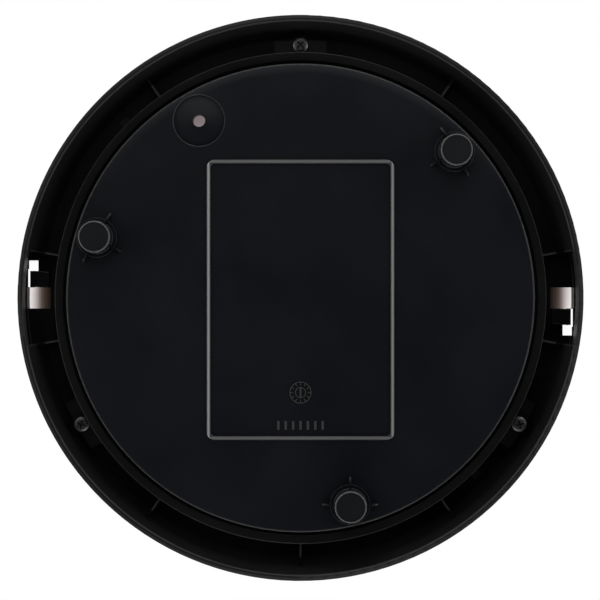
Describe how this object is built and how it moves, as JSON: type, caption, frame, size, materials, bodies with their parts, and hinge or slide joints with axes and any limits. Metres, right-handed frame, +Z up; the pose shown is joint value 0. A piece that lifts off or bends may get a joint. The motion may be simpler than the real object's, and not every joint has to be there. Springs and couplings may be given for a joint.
{
  "type": "digital bathroom scale",
  "caption": "Round flat digital bathroom scale with a twist-lock glass platform, black moulded base and weighing feet.",
  "frame": {"origin": "centre of the round scale on the plane of its foot pads", "axes": "+Z up through the platform, +Y towards the display, +X to the right of a person who faces the display"},
  "size_m": [0.3, 0.3, 0.0352],
  "materials": {
    "shell_plastic": "fine satin black ABS",
    "cover_plastic": "fine satin black ABS",
    "hook_plastic": "black acetal",
    "foot_rubber": "black non-slip rubber",
    "white_silicone": "matt white silicone",
    "pale_plastic": "pale moulded ABS",
    "button_plastic": "pinkish grey ABS",
    "grey_plastic": "moulded ABS",
    "platform_glass": "tempered, ground edge",
    "print_film": "printed film",
    "foam_tape": "acrylic foam",
    "screw_steel": "black zinc",
    "cell_steel": "stamped steel",
    "gauge_foil": "polyimide foil",
    "board": "solder mask",
    "chip_epoxy": "moulded epoxy",
    "can_metal": "drawn can",
    "socket_nylon": "natural nylon",
    "lcd_glass": "liquid-crystal panel",
    "diffuser": "milky acrylic",
    "battery_jacket": "plain printed jacket",
    "contact_metal": "nickel plate",
    "cable_jacket": "PVC jacket"
  },
  "bodies": {
    "base": {"outer_shell": "shell_plastic", "bottom_cover": "cover_plastic", "cover_screws": "screw_steel", "slot_bumper_right": "white_silicone", "slot_bumper_left": "white_silicone", "cell_frame_1": "grey_plastic", "cell_frame_2": "grey_plastic", "cell_frame_3": "grey_plastic", "load_cell_1": "cell_steel", "load_cell_2": "cell_steel", "load_cell_3": "cell_steel", "strain_gauges": "gauge_foil", "main_pcb": "board", "board_screws": "cell_steel", "unit_switch": "chip_epoxy", "processor_chip": "chip_epoxy", "converter_chip": "chip_epoxy", "crystal": "can_metal", "capacitors": "can_metal", "cable_sockets": "socket_nylon", "backlight": "diffuser", "contact_strip": "foot_rubber", "lcd_panel": "lcd_glass", "display_bezel": "grey_plastic", "battery_holder": "grey_plastic", "batteries": "battery_jacket", "battery_contacts": "contact_metal", "sensor_cable_1": "cable_jacket", "sensor_cable_2": "cable_jacket", "sensor_cable_3": "cable_jacket", "battery_lead": "cable_jacket", "foot_pad_1": "foot_rubber", "foot_stem_1": "grey_plastic", "foot_pad_2": "foot_rubber", "foot_stem_2": "grey_plastic", "foot_pad_3": "foot_rubber", "foot_stem_3": "grey_plastic"},
    "platform": {"platform_carrier": "pale_plastic", "bond_tape": "foam_tape", "decor_film": "print_film", "glass_platform": "platform_glass", "hook_right": "hook_plastic", "hook_left": "hook_plastic", "hook_screws": "cell_steel"},
    "unit_button": {"unit_button": "button_plastic"}
  },
  "joints": [
    {"name": "platform_twist", "type": "hinge", "parent": "base", "child": "platform", "pos_m": [0, 0, 0], "axis": [0, 0, 1], "range_deg": [-4.1, 0]},
    {"name": "unit_button_press", "type": "slide", "parent": "base", "child": "unit_button", "axis": [0, 0, 1], "range_m": [0, 0.0008], "stiffness_N_per_m": 1500}
  ]
}
